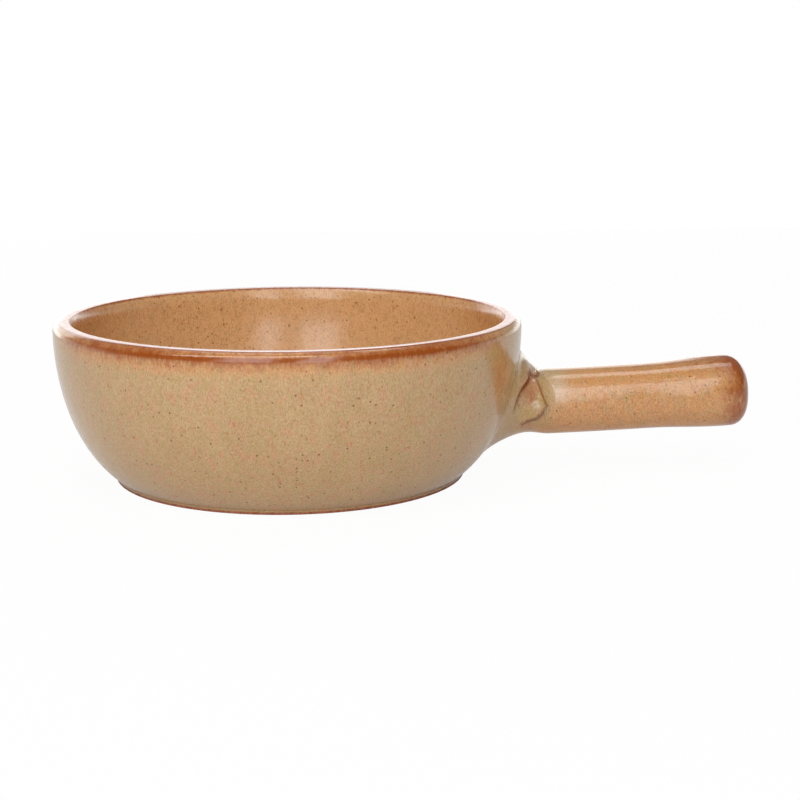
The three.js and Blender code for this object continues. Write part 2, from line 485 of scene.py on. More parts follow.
class Nodes:
    """Adds nodes to one node tree, and joins them."""

    def __init__(self, tree: bpy.types.NodeTree) -> None:
        """Empties the tree."""
        self.tree = tree
        tree.nodes.clear()

    def put(self, target: Socket, value: Value) -> None:
        """Joins a socket to a target, or sets the target to a plain value.

        Args:
            target: Input of a node.
            value: Output of another node, a number, or a colour or scale.
        """
        if isinstance(value, bpy.types.NodeSocket):
            self.tree.links.new(value, target)
        elif isinstance(value, tuple):
            target.default_value = (*value, 1.0)[: len(target.default_value)]
        else:
            target.default_value = value

    def add(self, kind: str, inputs: dict[str | int, Value], **options: str) -> bpy.types.Node:
        """Adds a node, with its inputs joined or set.

        Args:
            kind: What the node is, without the word that all shader nodes start with.
            inputs: What each input gets, by the input's name or number.
            **options: Options of the node, by their names.

        Returns:
            The node.
        """
        node = self.tree.nodes.new(f"ShaderNode{kind}")
        for name, option in options.items():
            setattr(node, name, option)
        for name, value in inputs.items():
            self.put(node.inputs[name], value)
        return node

    def sum(self, kind: Sum, first: Value, second: Value) -> Socket:
        """Works out a sum of two values."""
        return self.add("Math", {0: first, 1: second}, operation=kind.value).outputs[0]

    def ramp(self, value: Socket, way: Ramp) -> Socket:
        """Runs a value from one strength to another along a soft ramp."""
        inputs = {"Value": value, **dict(zip(RAMP_INPUTS, astuple(way)))}
        return self.add("MapRange", inputs, interpolation_type="SMOOTHSTEP").outputs[0]


class Sheet(Nodes):
    """The nodes of one material of the pot."""

    def __init__(self, name: str) -> None:
        """Starts a material with a shader and its output.

        Args:
            name: Name of the material.
        """
        self.material = bpy.data.materials.new(name)
        self.material.use_nodes = True
        super().__init__(self.material.node_tree)
        self.shader = self.add("BsdfPrincipled", {})
        self.add("OutputMaterial", {"Surface": self.shader.outputs["BSDF"]})
        self.place = self.add("TexCoord", {}).outputs["Object"]

    def stretched(self, down: float) -> Socket:
        """Object coordinates, scaled down the wall by a factor."""
        inputs = {"Vector": self.place, "Scale": (1.0, 1.0, down)}
        return self.add("Mapping", inputs).outputs["Vector"]

    def cloud(self, look: Cloud, place: Socket | None = None) -> Socket:
        """Noise of about 0.5, on the object's own coordinates or on others."""
        inputs = {"Scale": look.scale, "Detail": look.detail, "Roughness": look.rough}
        return self.add("TexNoise", {"Vector": place or self.place, **inputs}).outputs["Fac"]

    def specks(self, look: Dots, place: Socket | None = None) -> Socket:
        """Scattered dots with soft edges.

        Args:
            look: Their sizes.
            place: Coordinates, or none for the object's own.

        Returns:
            A mask, 1 in the middle of each dot.
        """
        cells = self.add("TexVoronoi", {"Vector": place or self.place, "Scale": look.scale})
        chance = self.add("SeparateColor", {"Color": cells.outputs["Color"]}).outputs["Red"]
        dot = self.ramp(cells.outputs["Distance"], Ramp(look.size, look.size * look.core))
        kept = self.ramp(chance, Ramp(1 - look.share, 1 - look.share * look.sure))
        return self.sum(Sum.TIMES, dot, kept)

    def mask(self, tint: Tint) -> Socket:
        """Mask that the mesh carries for a tint."""
        return self.add("Attribute", {}, attribute_name=tint.value).outputs["Fac"]

    def shown(self, layer: Layer, ragged: Socket, uneven: Socket) -> Socket:
        """Works out how much of a layer shows.

        Args:
            layer: The layer.
            ragged: Fine noise about 0, which frays its edge.
            uneven: Broad noise about 0, which lets its edge drift.

        Returns:
            Its share.
        """
        if isinstance(layer.by, Tint):
            share = self.mask(layer.by)
            for noise, amount in ((ragged, layer.fray), (uneven, layer.drift)):
                share = self.sum(Sum.ADD, share, self.sum(Sum.TIMES, noise, amount))
        else:
            pattern = self.cloud if isinstance(layer.by, Cloud) else self.specks
            share = pattern(layer.by, self.stretched(layer.drawn))
        if layer.ramp:
            share = self.ramp(share, layer.ramp)
        honeyed = self.sum(Sum.TIMES, self.mask(Tint.HONEY), layer.calm)
        share = self.sum(Sum.TIMES, share, self.sum(Sum.LESS, 1.0, honeyed))
        return self.sum(Sum.TIMES, share, layer.strength)

    def over(self, under: Value, above: Value, share: Value) -> Socket:
        """Lays one colour over another, as far as the share goes."""
        inputs = {"Factor": share, MIX_UNDER: under, MIX_ABOVE: above}
        return self.add("Mix", inputs, data_type="RGBA").outputs[MIX_RESULT]

    def finish(self, colour: Socket, dull: Socket, height: Socket, depth: float) -> None:
        """Joins the colour, the dullness and the bumps to the shader.

        Args:
            colour: Colour of the surface.
            dull: Roughness of the surface.
            height: How far the surface stands up, as a share of the depth.
            depth: The most that it stands up, in metres.
        """
        bump = self.add("Bump", {"Distance": depth, "Height": height}).outputs["Normal"]
        for name, value in (("Base Color", colour), ("Roughness", dull), ("Normal", bump)):
            self.put(self.shader.inputs[name], value)


# ---- finishes


def tone(red: int, green: int, blue: int) -> Colour:
    """Linear colour from the 0 to 255 numbers of a screen colour."""
    screen = Color([channel / BRIGHTEST for channel in (red, green, blue)])
    return tuple(screen.from_srgb_to_scene_linear())


@dataclass(frozen=True)
class GlazeFinish:
    """Glossy speckled glaze over iron-bearing stoneware.

    The glaze is tan where it lies even, amber and rust where it runs thin over an edge, olive
    where it pools, and pitted and specked by the iron of the clay. Its fold colour is painted
    shade, its near-white is painted highlight, and some of its amber and rust is painted shade.
    """

    name: str
    freckled: float = 0.75
    mottled: float = 0.5
    specked: float = 0.5
    pale: Colour = tone(187, 154, 108)
    deep: Colour = tone(179, 147, 101)
    shade: Colour = tone(158, 118, 78)
    light: Colour = tone(206, 172, 130)
    rose: Colour = tone(196, 140, 104)
    moss: Colour = tone(176, 148, 90)
    amber: Colour = tone(203, 141, 82)
    rust: Colour = tone(146, 72, 24)
    olive: Colour = tone(184, 154, 98)
    blush: Colour = tone(184, 126, 90)
    honey: Colour = tone(214, 164, 112)
    # painted highlight: near-white laid where the joint and the handle catch the lamps
    milk: Colour = tone(236, 216, 200)
    orange_speck: Colour = tone(176, 96, 46)
    dark_speck: Colour = tone(108, 58, 28)
    # painted shade: the colour laid in the bottom of the folds
    crease: Colour = tone(116, 54, 22)
    grit: Colour = tone(138, 76, 48)
    bare: Layer = Layer(tone(176, 108, 74), Tint.BARE, Ramp(0.4, 0.6), fray=0.2)
    grit_mix: Ramp = Ramp(0.4, 0.62)
    fine: Cloud = Cloud(700.0, 4.0, 0.7)
    grain: Cloud = Cloud(1900.0, 2.0, 0.7)
    uneven: Cloud = Cloud(190.0, 2.0, 0.6)
    dark_dots: Dots = Dots(420.0, size=0.27, share=0.22)
    gloss: Ramp = Ramp(0.3, 0.8, 0.13, 0.19)
    bare_dull: float = 0.6
    softened: float = 0.07
    density: float = 1.6
    peel: Cloud = Cloud(160.0, 2.0)
    fine_relief: float = 0.12
    pit_relief: float = 0.06
    relief: float = 0.00012

    def layers(self) -> tuple[Layer, ...]:
        """Lists the colours that lie over the palest.

        Returns:
            The layers, lowest first.
        """
        tints = {
            Tint.HONEY: self.honey,
            Tint.OLIVE: self.olive,
            Tint.ROSE: self.blush,
            Tint.AMBER: self.amber,
        }
        edge, mottled = Ramp(0.15, 0.9), {"strength": self.mottled, "calm": 0.6}
        return (
            Layer(self.deep, Cloud(80.0, 4.0, 0.6), Ramp(0.3, 0.7)),
            *(Layer(colour, tint, edge, fray=0.8) for tint, colour in tints.items()),
            Layer(self.rose, Cloud(320.0, 3.0, 0.65), Ramp(0.49, 0.66), **mottled),
            Layer(self.moss, Cloud(400.0, 3.0, 0.65), Ramp(0.5, 0.66), **mottled),
            Layer(self.shade, self.grain, Ramp(0.5, 0.68), strength=self.freckled),
            Layer(self.light, self.grain, Ramp(0.48, 0.32, last=0.7), strength=self.freckled),
            Layer(self.rust, Tint.RUST, Ramp(0.25, 1.0), fray=0.9, drift=0.5),
            Layer(self.orange_speck, Dots(430.0, size=0.36, share=0.5), strength=0.35),
            Layer(self.rust, Dots(150.0, size=0.13, share=0.4), strength=0.65, drawn=0.8),
            Layer(self.dark_speck, self.dark_dots, strength=self.specked, drawn=1.0),
            # painted highlights
            Layer(self.milk, Tint.MILK),
            # painted shade in the folds
            Layer(self.crease, Tint.CREASE),
        )

    def made(self) -> bpy.types.Material:
        """Makes the material.

        Returns:
            The glaze, with its masks read from the mesh that wears it.
        """
        sheet = Sheet(self.name)
        fine = sheet.cloud(self.fine, sheet.stretched(DRAWN))
        noises = (fine, sheet.cloud(self.uneven))
        noises = [sheet.sum(Sum.LESS, noise, NOISE_MIDDLE) for noise in noises]
        colour = self.pale
        for layer in self.layers():
            colour = sheet.over(colour, layer.colour, sheet.shown(layer, *noises))
        bare = sheet.shown(self.bare, *noises)
        clay = sheet.over(self.bare.colour, self.grit, sheet.ramp(fine, self.grit_mix))
        dull = sheet.ramp(fine, self.gloss)
        for share, duller in ((bare, self.bare_dull), (sheet.mask(Tint.HONEY), self.softened)):
            dull = sheet.sum(Sum.ADD, dull, sheet.sum(Sum.TIMES, share, duller))
        finely = sheet.sum(Sum.TIMES, fine, self.fine_relief)
        peel = sheet.sum(Sum.ADD, sheet.cloud(self.peel), finely)
        pits = sheet.sum(Sum.TIMES, sheet.specks(self.dark_dots), self.pit_relief)
        sheet.put(sheet.shader.inputs["IOR"], self.density)
        colour = sheet.over(colour, clay, bare)
        sheet.finish(colour, dull, sheet.sum(Sum.LESS, peel, pits), self.relief)
        return sheet.material


@dataclass(frozen=True)
class ClayFinish:
    """Bare fired clay, dull and gritty."""

    name: str
    pale: Colour = tone(168, 100, 68)
    deep: Colour = tone(132, 72, 46)
    grit: Cloud = Cloud(900.0, 4.0, 0.7)
    grit_mix: Ramp = Ramp(0.35, 0.65)
    roughness: Ramp = Ramp(0.3, 0.7, 0.8, 0.9)
    relief: float = 0.00015

    def made(self) -> bpy.types.Material:
        """Makes the material.

        Returns:
            The clay, with grit in its colour and its skin.
        """
        sheet = Sheet(self.name)
        grit = sheet.cloud(self.grit)
        colour = sheet.over(self.pale, self.deep, sheet.ramp(grit, self.grit_mix))
        sheet.finish(colour, sheet.ramp(grit, self.roughness), grit, self.relief)
        return sheet.material


# ---- pieces


def dressed(piece: bpy.types.Object, node: str, material: bpy.types.Material) -> None:
    """Gives a piece its glaze and its place in the frame.

    Args:
        piece: The finished object.
        node: The solid that it stands for.
        material: Its material.
    """
    piece.data.materials.append(material)
    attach(piece, BODY)
    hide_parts(node)


@dataclass(frozen=True)
class Bowl:
    """The turned bowl: a foot, a wall that curves out to the rim, and a rounded lip."""

    rim_radius: float = 110.0
    height: float = 75.6
    rim_wall: float = 9.7
    lip_height: float = 4.4
    lip_corner_width: float = 4.0
    crest_width: float = 3.0
    inner_corner_radius: float = 1.3
    inner_corner_turn: float = 1.05
    inner_lip_height: float = 7.0
    base_radius: float = 83.2
    base_edge: float = 0.6
    base_edge_steps: int = 4
    foot_height: float = 2.4
    foot_step: float = 0.6
    foot_bead: tuple[Place, ...] = ((0.0, 0.5), (0.14, 0.34), (0.4, 0.2))
    floor_thickness: float = 9.0
    floor_flat_radius: float = 44.0
    wall_out: float = 0.86
    wall_up: float = 0.27
    wall_down: float = 0.25
    inside_out: float = 0.62
    inside_down: float = 0.64
    wall_steps: int = 56
    lip_steps: int = 12
    floor_steps: int = 8
    turn_steps: int = 288
    table_steps: int = 900
    bare_foot: Ramp = Ramp(1.1, 1.6, 1.0, 0.0)
    # painted reflection: no amber or rust at the left and right edges as seen, so they stay pale
    reflection_ends: tuple[float, ...] = (184.0, 348.0)
    reflection_half: float = 22.0
    amber_wall: Ramp = Ramp(60.0, 70.0)
    amber_lip: Ramp = Ramp(70.0, 73.0, 0.72, 1.0)
    rust_height: float = 72.6
    rust_above: float = 0.8
    rust_below: float = 1.3
    rust_lip: float = 0.78
    rust_front: float = 0.5
    front_middle: float = 263.0
    front_half: float = 18.0
    rust_wall: Ramp = Ramp(63.0, 71.5, 0.0, 0.62)
    rust_crest: Ramp = Ramp(74.9, 75.4)
    honey: float = 0.9
    # painted shade: amber and rust darken the inside towards its left and right as seen
    inner_shade_sides: Ramp = Ramp(0.7, 1.0)
    inner_shade_amber: Ramp = Ramp(35.0, 60.0, 0.0, 0.6)
    inner_shade_rust: Ramp = Ramp(55.0, 68.0, 0.0, 0.47)
    inner_rim: float = 0.9
    inner_rim_width: float = 1.4
    stains: tuple[Stain, ...] = ()

    @property
    def lip_base(self) -> float:
        """Height where the outer wall ends and the lip's outer corner starts."""
        return self.height - self.lip_height

    @property
    def inside_top(self) -> float:
        """Height where the inner wall ends and the soft inner side of the lip starts."""
        return self.height - self.inner_lip_height

    def wall_corners(self) -> list[Vector]:
        """Steers the outer wall.

        Returns:
            Four points as (radius, height), from the foot to the lip.
        """
        start = self.base_radius + self.foot_step
        overhang = self.rim_radius - start
        rise = self.lip_base - self.foot_height
        return [
            Vector((start, self.foot_height)),
            Vector((start + overhang * self.wall_out, self.foot_height + rise * self.wall_up)),
            Vector((self.rim_radius, self.lip_base - rise * self.wall_down)),
            Vector((self.rim_radius, self.lip_base)),
        ]

    def inside_corners(self) -> list[Vector]:
        """Steers the inner wall.

        Returns:
            Four points as (radius, height), from the lip to the floor.
        """
        top = self.rim_radius - self.rim_wall
        run = top - self.floor_flat_radius
        drop = self.inside_top - self.floor_thickness
        return [
            Vector((top, self.inside_top)),
            Vector((top, self.inside_top - drop * self.inside_down)),
            Vector((self.floor_flat_radius + run * self.inside_out, self.floor_thickness)),
            Vector((self.floor_flat_radius, self.floor_thickness)),
        ]

    @cached_property
    def wall_table(self) -> tuple[list[float], list[float]]:
        """Heights and radii of close points of the outer wall, lowest first."""
        points = [cubic(self.wall_corners(), share) for share in shares(self.table_steps, True)]
        return [point.y for point in points], [point.x for point in points]

    def wall_radius(self, height: float) -> float:
        """Looks up the outer wall.

        Args:
            height: Height over the base.

        Returns:
            Radius of the wall there.
        """
        heights, radii = self.wall_table
        if height >= heights[-1]:
            return self.rim_radius
        row = max(bisect(heights, height) - 1, 0)
        share = (height - heights[row]) / (heights[row + 1] - heights[row])
        return lerp(radii[row], radii[row + 1], max(share, 0.0))

    def wall_reach(self, across: float, height: float) -> float:
        """Where the wall lies along X, at a place across and a height."""
        return math.sqrt(self.wall_radius(height) ** 2 - across**2)

    def lip(self) -> list[Place]:
        """Outline of the lip: outer corner, level crest, inner corner and soft inner side.

        Returns:
            (radius, height) points, from the top of the outer wall to the inner wall.
        """
        crest = self.rim_radius - self.lip_corner_width
        outer = [
            (
                crest + self.lip_corner_width * math.cos(QUARTER_TURN * share),
                self.lip_base + self.lip_height * math.sin(QUARTER_TURN * share),
            )
            for share in shares(self.lip_steps)
        ]
        level = [(crest, self.height), (crest - self.crest_width / 2, self.height)]
        size, whole = self.inner_corner_radius, self.inner_corner_turn
        middle = Vector((crest - self.crest_width, self.height - size))
        corner = [
            middle + Vector((-size * math.sin(turn), size * math.cos(turn)))
            for turn in (whole * share for share in shares(self.lip_steps, True))
        ]
        start, end = corner.pop(), Vector((self.rim_radius - self.rim_wall, self.inside_top))
        meeting = Vector((end.x, start.y - (start.x - end.x) * math.tan(whole)))
        steers = [start, start.lerp(meeting, CURVE_HOLD), end.lerp(meeting, CURVE_HOLD), end]
        side = [cubic(steers, share) for share in shares(self.lip_steps)]
        return outer + level + [tuple(point) for point in corner + side]

    def profile(self) -> list[Place]:
        """Outline of half the bowl.

        Returns:
            (radius, height) points, from under the base to the middle of the floor.
        """
        edge, base, flat = self.base_edge, self.base_radius, self.floor_flat_radius
        turns = [QUARTER_TURN * share for share in shares(self.base_edge_steps, True)]
        corner = [
            (base - edge + edge * math.sin(turn), edge - edge * math.cos(turn)) for turn in turns
        ]
        steers = (self.wall_corners(), self.inside_corners())
        wall, inside = (
            [tuple(cubic(corners, share)) for share in shares(self.wall_steps)]
            for corners in steers
        )
        inwards = [1 - share for share in shares(self.floor_steps, True)]
        return [
            *((base * share, 0.0) for share in shares(self.floor_steps)),
            *corner,
            *((base + out, self.foot_height - down) for out, down in self.foot_bead),
            *wall,
            *self.lip(),
            *inside,
            *((flat * share, self.floor_thickness) for share in inwards),
        ]

    def outer_masks(self, place: Vector) -> Masks:
        """Masks of the outer wall and the lip: amber and rust that fade out at both ends, as a
        painted reflection.

        Args:
            place: Point of the surface, in millimetres.

        Returns:
            The strength of each mask there.
        """
        height = place.z
        around = math.degrees(math.atan2(place.y, place.x))
        front = bell(turn_between(around, self.front_middle) / self.front_half)
        # painted reflection: the tints die away at the left and right edges as seen
        shown = 1 - max(bell(turn_between(around, end) / self.reflection_half) for end in self.reflection_ends)
        if height > self.rust_height:
            rust, width = lerp(self.rust_lip, self.rust_front, front), self.rust_above
        else:
            rust, width = self.rust_wall.at(height), self.rust_below
        rust = lerp(rust, 1.0, bell((height - self.rust_height) / width)) * shown
        return {
            Tint.AMBER: shown * self.amber_lip.at(height) * self.amber_wall.at(height),
            Tint.RUST: max(rust, self.rust_crest.at(height)),
        }

    def inner_masks(self, place: Vector) -> Masks:
        """Masks of the inside: honey all over, and amber and rust towards its left and right as
        painted shade.

        Args:
            place: Point of the surface, in millimetres.

        Returns:
            The strength of each mask there.
        """
        radius, height = math.hypot(place.x, place.y), place.z
        side = self.inner_shade_sides.at(abs(place.x) / radius) if radius else 0.0
        rim = self.inner_rim * bell((height - self.height) / self.inner_rim_width)
        return {
            Tint.HONEY: self.honey,
            Tint.AMBER: side * self.inner_shade_amber.at(height),
            Tint.RUST: max(rim, side * self.inner_shade_rust.at(height)),
        }

    def masks(self, place: Vector) -> Masks:
        """Masks of the glaze: the lip's bands, the inside, the bare foot, and the stains.

        Args:
            place: Point of the surface, in millimetres.

        Returns:
            The strength of each mask there.
        """
        radius, height = math.hypot(place.x, place.y), place.z
        found: Masks = {}
        if radius > self.wall_radius(height) - self.rim_wall / 2:
            found = self.outer_masks(place)
        elif height > self.floor_thickness / 2:
            found = self.inner_masks(place)
        if height < self.base_edge or radius > self.base_radius - 2 * self.base_edge:
            found[Tint.BARE] = self.bare_foot.at(height)
        return stained(found, self.stains, place)

    def build(self, glaze: bpy.types.Material) -> None:
        """Turns the bowl and glazes it.

        Args:
            glaze: Its material.
        """
        skin = Skin()
        skin.spin(self.profile(), self.turn_steps)
        skin.paint(self.masks)
        dressed(skin.finished("bowl_shell"), "bowl", glaze)


@dataclass(frozen=True)
class GripTints:
    """Where amber, olive and rust lie on the handle and the luting roll."""

    stains: tuple[Stain, ...]
    level: float = 33.0
    slant: float = 0.5
    amber: Ramp = Ramp(112.0, 134.0, 0.0, 0.78)
    olive_start: Ramp = Ramp(104.0, 114.0, 0.0, 0.6)
    olive_end: Ramp = Ramp(116.0, 134.0, 1.0, 0.0)
    rust: float = 0.32
    # rust round the handle's end, and painted shade on its dome, which faces away from the lamps
    end_rust_and_shade: Ramp = Ramp(200.0, 217.0, 0.0, 0.5)
    rust_top: Ramp = Ramp(45.0, 52.0, 0.0, 0.25)
    rust_top_start: Ramp = Ramp(140.0, 170.0)
    rust_neck: Ramp = Ramp(130.0, 150.0, -0.3, 0.0)

    def at(self, place: Vector) -> Masks:
        """Works out the masks of a point.

        Args:
            place: Point of the surface, in millimetres.

        Returns:
            The strength of each mask.
        """
        reach = place.x - self.slant * (place.z - self.level)
        top = self.rust_top.at(place.z) * self.rust_top_start.at(place.x)
        found = {
            Tint.AMBER: self.amber.at(reach),
            Tint.OLIVE: self.olive_start.at(place.x) * self.olive_end.at(reach),
            Tint.RUST: self.rust + self.end_rust_and_shade.at(place.x) + top + self.rust_neck.at(place.x),
        }
        return stained(found, self.stains, place)


@dataclass(frozen=True)
class Handle:
    """The solid handle: a neck under the luting roll, a straight grip and a swelling end.

    Root, grip and end hold half the width and half the height of its section there.
    """

    bowl: Bowl
    tints: GripTints
    reach: float = 221.5
    root_height: float = 31.6
    end_height: float = 36.6
    level_run: float = 35.0
    root: Place = (15.2, 14.4)
    grip: Place = (16.6, 15.7)
    end: Place = (18.0, 17.1)
    neck_length: float = 9.0
    neck_taper: float = 12.0
    swell: Place = (0.62, 0.9)
    dome_depth: float = 10.0
    section_power: float = 2.25
    dome_power: float = 2.4
    overrun: float = 12.0
    seat: float = 1.6
    seat_gap: float = 3.0
    sides: int = 128
    length_steps: int = 72
    dome_steps: int = 28
    seat_steps: int = 5
    surface_rounds: int = 8

    @cached_property
    def root_reach(self) -> float:
        """Where the wall meets the handle's axis, along X."""
        return self.bowl.wall_radius(self.root_height)

    @cached_property
    def steers(self) -> tuple[Vector, Vector, Vector]:
        """Steers the middle line.

        Returns:
            Three points as (x, z), from behind the root to the end.
        """
        level = (self.root_reach - self.overrun, self.root_reach + self.level_run)
        ends = (*((reach, self.root_height) for reach in level), (self.reach, self.end_height))
        return tuple(Vector(end) for end in ends)

    def path(self, share: float) -> Vector:
        """Point of the middle line as (x, z), at a share of its parameter."""
        (start, middle, end), rest = self.steers, 1 - share
        return start * rest * rest + middle * (2 * rest * share) + end * share * share

    def slope(self, share: float) -> Vector:
        """Direction of the middle line as (x, z)."""
        start, middle, end = self.steers
        return ((middle - start) * (1 - share) + (end - middle) * share).normalized()

    def half(self, reach: float) -> Vector:
        """Half the width and height of the section.

        Args:
            reach: Where the middle line is, along X.

        Returns:
            Both, in one vector.
        """
        root, grip, end = (Vector(half) for half in (self.root, self.grip, self.end))
        neck_end = self.root_reach + self.neck_length
        start = self.root_reach - self.overrun
        taper = smooth(reach, neck_end, neck_end + self.neck_taper)
        share = (reach - start) / (self.reach - start)
        return root.lerp(grip, taper) + (end - grip) * smooth(share, *self.swell)

    def section(self, angle: float, half: Vector) -> Vector:
        """Point of the section, between an ellipse and a rounded box.

        Args:
            angle: Angle round the section, where 0 is the top.
            half: Half its width and height.

        Returns:
            The point as (towards the front, up) from the section's middle.
        """
        power = 2 / self.section_power
        front, up = math.sin(angle), math.cos(angle)
        return Vector((
            half.x * math.copysign(abs(front) ** power, front),
            half.y * math.copysign(abs(up) ** power, up),
        ))

    def share_at(self, reach: float) -> float:
        """Finds a place on the middle line.

        Args:
            reach: Place along X.

        Returns:
            Share of the line's parameter there.
        """
        start, middle = self.root_reach - self.overrun, self.root_reach + self.level_run
        bend, run = start - 2 * middle + self.reach, 2 * (middle - start)
        return (math.sqrt(run * run + 4 * bend * (reach - start)) - run) / (2 * bend)

    def surface(self, reach: float, angle: float) -> float:
        """Distance of the skin from the level axis at the root.

        Args:
            reach: Place along X.
            angle: Direction that is measured in, round the axis, where 0 is up.

        Returns:
            The distance.
        """
        half = self.half(reach)
        lift = self.path(self.share_at(reach)).y - self.root_height
        front, up = math.sin(angle), math.cos(angle)
        power = self.section_power
        distance = half.x
        for _ in range(self.surface_rounds):
            across = abs(distance * front) / half.x
            above = abs(distance * up - lift) / half.y
            distance /= (across**power + above**power) ** (1 / power)
        return distance

    def rings(self) -> list[list[Vector]]:
        """Draws the handle.

        Returns:
            Rings of points from the seat on the wall to the tip of the dome.
        """
        angles = [FULL_TURN * share for share in shares(self.sides)]
        rings = []
        for share in shares(self.seat_steps, True)[1:]:
            half, ring = Vector(self.root) * share, []
            for point in (self.section(angle, half) for angle in angles):
                height = self.root_height + point.y
                reach = self.bowl.wall_reach(point.x, height) + self.seat
                ring.append(Vector((reach, -point.x, height)))
            rings.append(ring)
        start = self.share_at(self.root_reach + self.seat + self.seat_gap)
        dome = self.share_at(self.reach - self.dome_depth)
        for share in shares(self.length_steps, True):
            rings.append(self.ring(angles, lerp(start, dome, share), 1.0))
        for turn in (QUARTER_TURN * share for share in shares(self.dome_steps)[1:]):
            depth = math.sin(turn) ** (2 / self.dome_power)
            size = math.cos(turn) ** (2 / self.dome_power)
            rings.append(self.ring(angles, lerp(dome, 1.0, depth), size))
        return rings

    def ring(self, angles: Sequence[float], share: float, size: float) -> list[Vector]:
        """Draws one ring square to the middle line.

        Args:
            angles: Angles of its points.
            share: Share of the middle line's parameter.
            size: Size of the ring, as a share of the section's.

        Returns:
            Its points.
        """
        middle, along = self.path(share), self.slope(share)
        half = self.half(middle.x) * size
        points = (self.section(angle, half) for angle in angles)
        return [
            Vector((middle.x - along.y * point.y, -point.x, middle.y + along.x * point.y))
            for point in points
        ]

    def build(self, glaze: bpy.types.Material) -> None:
        """Draws the handle out of rings and glazes it.

        Args:
            glaze: Its material.
        """
        skin = Skin()
        skin.loft(self.rings(), closed=False)
        skin.paint(self.tints.at)
        dressed(skin.finished("handle_grip"), "handle", glaze)


@dataclass(frozen=True)
class LutingRoll:
    """The roll of clay round the joint, smeared over the wall and along the handle."""

    handle: Handle
    creases: tuple[Crease, ...]
    presses: tuple[Press, ...]
    spread: Around = Around(top=14.0, side=20.0, bottom=11.0)
    run: Around = Around(top=12.5, side=23.0, bottom=20.0)
    hold_wall: Around = Around(top=0.2, side=0.5, bottom=0.5)
    hold_handle: Around = Around(top=0.1, side=0.3, bottom=0.5)
    sunk: float = 0.02
    overlap: float = 0.35
    sides: int = 420
    steps: int = 96
    back_steps: int = 6
    fade_depth: float = 8.0
    end_share: float = 0.1

    def wall(self, angle: float, distance: float) -> float:
        """Place of the wall along X, in a direction and at a distance from the axis."""
        height = self.handle.root_height + math.cos(angle) * distance
        return self.handle.bowl.wall_reach(math.sin(angle) * distance, height)

    def line(self, angle: float) -> list[Vector]:
        """Steers one line of the skin, from the wall out to the handle.

        Args:
            angle: Angle round the handle, 0 at the top and a quarter turn at the front.

        Returns:
            Four points as (x, distance from the handle's axis).
        """
        surface = self.handle.surface
        neck = surface(self.handle.root_reach + self.handle.neck_length, angle)
        outer = neck + self.spread.at(angle)
        reach = self.wall(angle, neck) + self.run.at(angle)
        corner = Vector((self.wall(angle, neck), neck))
        foot = Vector((self.wall(angle, outer) - self.sunk, outer))
        tip = Vector((reach, surface(reach, angle) - self.sunk))
        inwards = self.wall(angle, outer - SLOPE_STEP) - self.wall(angle, outer)
        wall_way = Vector((inwards, -SLOPE_STEP)).normalized()
        backwards = surface(reach - SLOPE_STEP, angle) - surface(reach, angle)
        handle_way = Vector((-SLOPE_STEP, backwards)).normalized()
        return [
            foot,
            foot + wall_way * ((foot - corner).length * self.hold_wall.at(angle)),
            tip + handle_way * ((tip - corner).length * self.hold_handle.at(angle)),
            tip,
        ]

    def marked(self, angle: float, corners: Sequence[Vector], share: float) -> Vector:
        """Point of the skin with the creases and thumb marks in it, as (x, distance).

        Args:
            angle: Angle round the handle.
            corners: The four points that steer this line of the skin.
            share: How far along the line, from 0 at the wall to 1 at the handle.

        Returns:
            The point, in the plane of the line.
        """
        place = cubic(corners, share)
        front = smooth(math.sin(angle) * place.y, 0.0, self.fade_depth)
        ends = smooth(share, 0.0, self.end_share) * smooth(1 - share, 0.0, self.end_share)
        if front * ends == 0.0:
            return place
        along = place.x - self.handle.root_reach
        above = math.cos(angle) * place.y
        lift = sum(mark.lift(along, above) for mark in (*self.creases, *self.presses))
        ahead = cubic(corners, share + FINE) - cubic(corners, share - FINE)
        outwards = Vector((-ahead.y, ahead.x)).normalized()
        return place + outwards * (lift * front * ends)

    def bore(self, angle: float, corners: Sequence[Vector]) -> list[Vector]:
        """Draws one line of the hidden sides, back along the handle and out over the wall.

        Args:
            angle: Angle round the handle.
            corners: The four points that steer this line of the skin.

        Returns:
            Points as (x, distance from the handle's axis).
        """
        surface = self.handle.surface
        neck = surface(self.handle.root_reach, angle) - self.overlap
        corner = self.wall(angle, neck) - self.overlap
        back = [lerp(corners[3].x, corner, share) for share in shares(self.back_steps + 1)[1:]]
        out = [lerp(neck, corners[0].y, share) for share in shares(self.back_steps)]
        return [
            *(Vector((reach, surface(reach, angle) - self.overlap)) for reach in back),
            *(Vector((self.wall(angle, place) - self.overlap, place)) for place in out),
        ]

    def rings(self) -> list[list[Vector]]:
        """Draws the roll.

        Returns:
            Rings of the closed section: the skin outwards, then the bore back to the wall.
        """
        lines = []
        for angle in (FULL_TURN * share for share in shares(self.sides)):
            corners = self.line(angle)
            skin = [self.marked(angle, corners, share) for share in shares(self.steps, True)]
            front, up = math.sin(angle), math.cos(angle)
            lines.append([
                Vector((point.x, -front * point.y, self.handle.root_height + up * point.y))
                for point in skin + self.bore(angle, corners)
            ])
        return [list(ring) for ring in zip(*lines)]

    def masks(self, place: Vector) -> Masks:
        """Masks of the glaze: the handle's, painted shade in the creases, and the rust beside
        them.

        Args:
            place: Point of the surface, in millimetres.

        Returns:
            The strength of each mask.
        """
        found = self.handle.tints.at(place)
        along = place.x - self.handle.root_reach
        above = place.z - self.handle.root_height
        front = smooth(-place.y, 0.0, self.fade_depth)
        # painted shade in the bottom of the folds
        found[Tint.CREASE] = front * max(crease.dark(along, above) for crease in self.creases)
        # rust of thin glaze beside the folds, and painted shade where a rim lies on the pressed
        # side
        rust = front * max(crease.rim_rust_and_shade(along, above) for crease in self.creases)
        found[Tint.RUST] = max(found[Tint.RUST], rust)
        return found

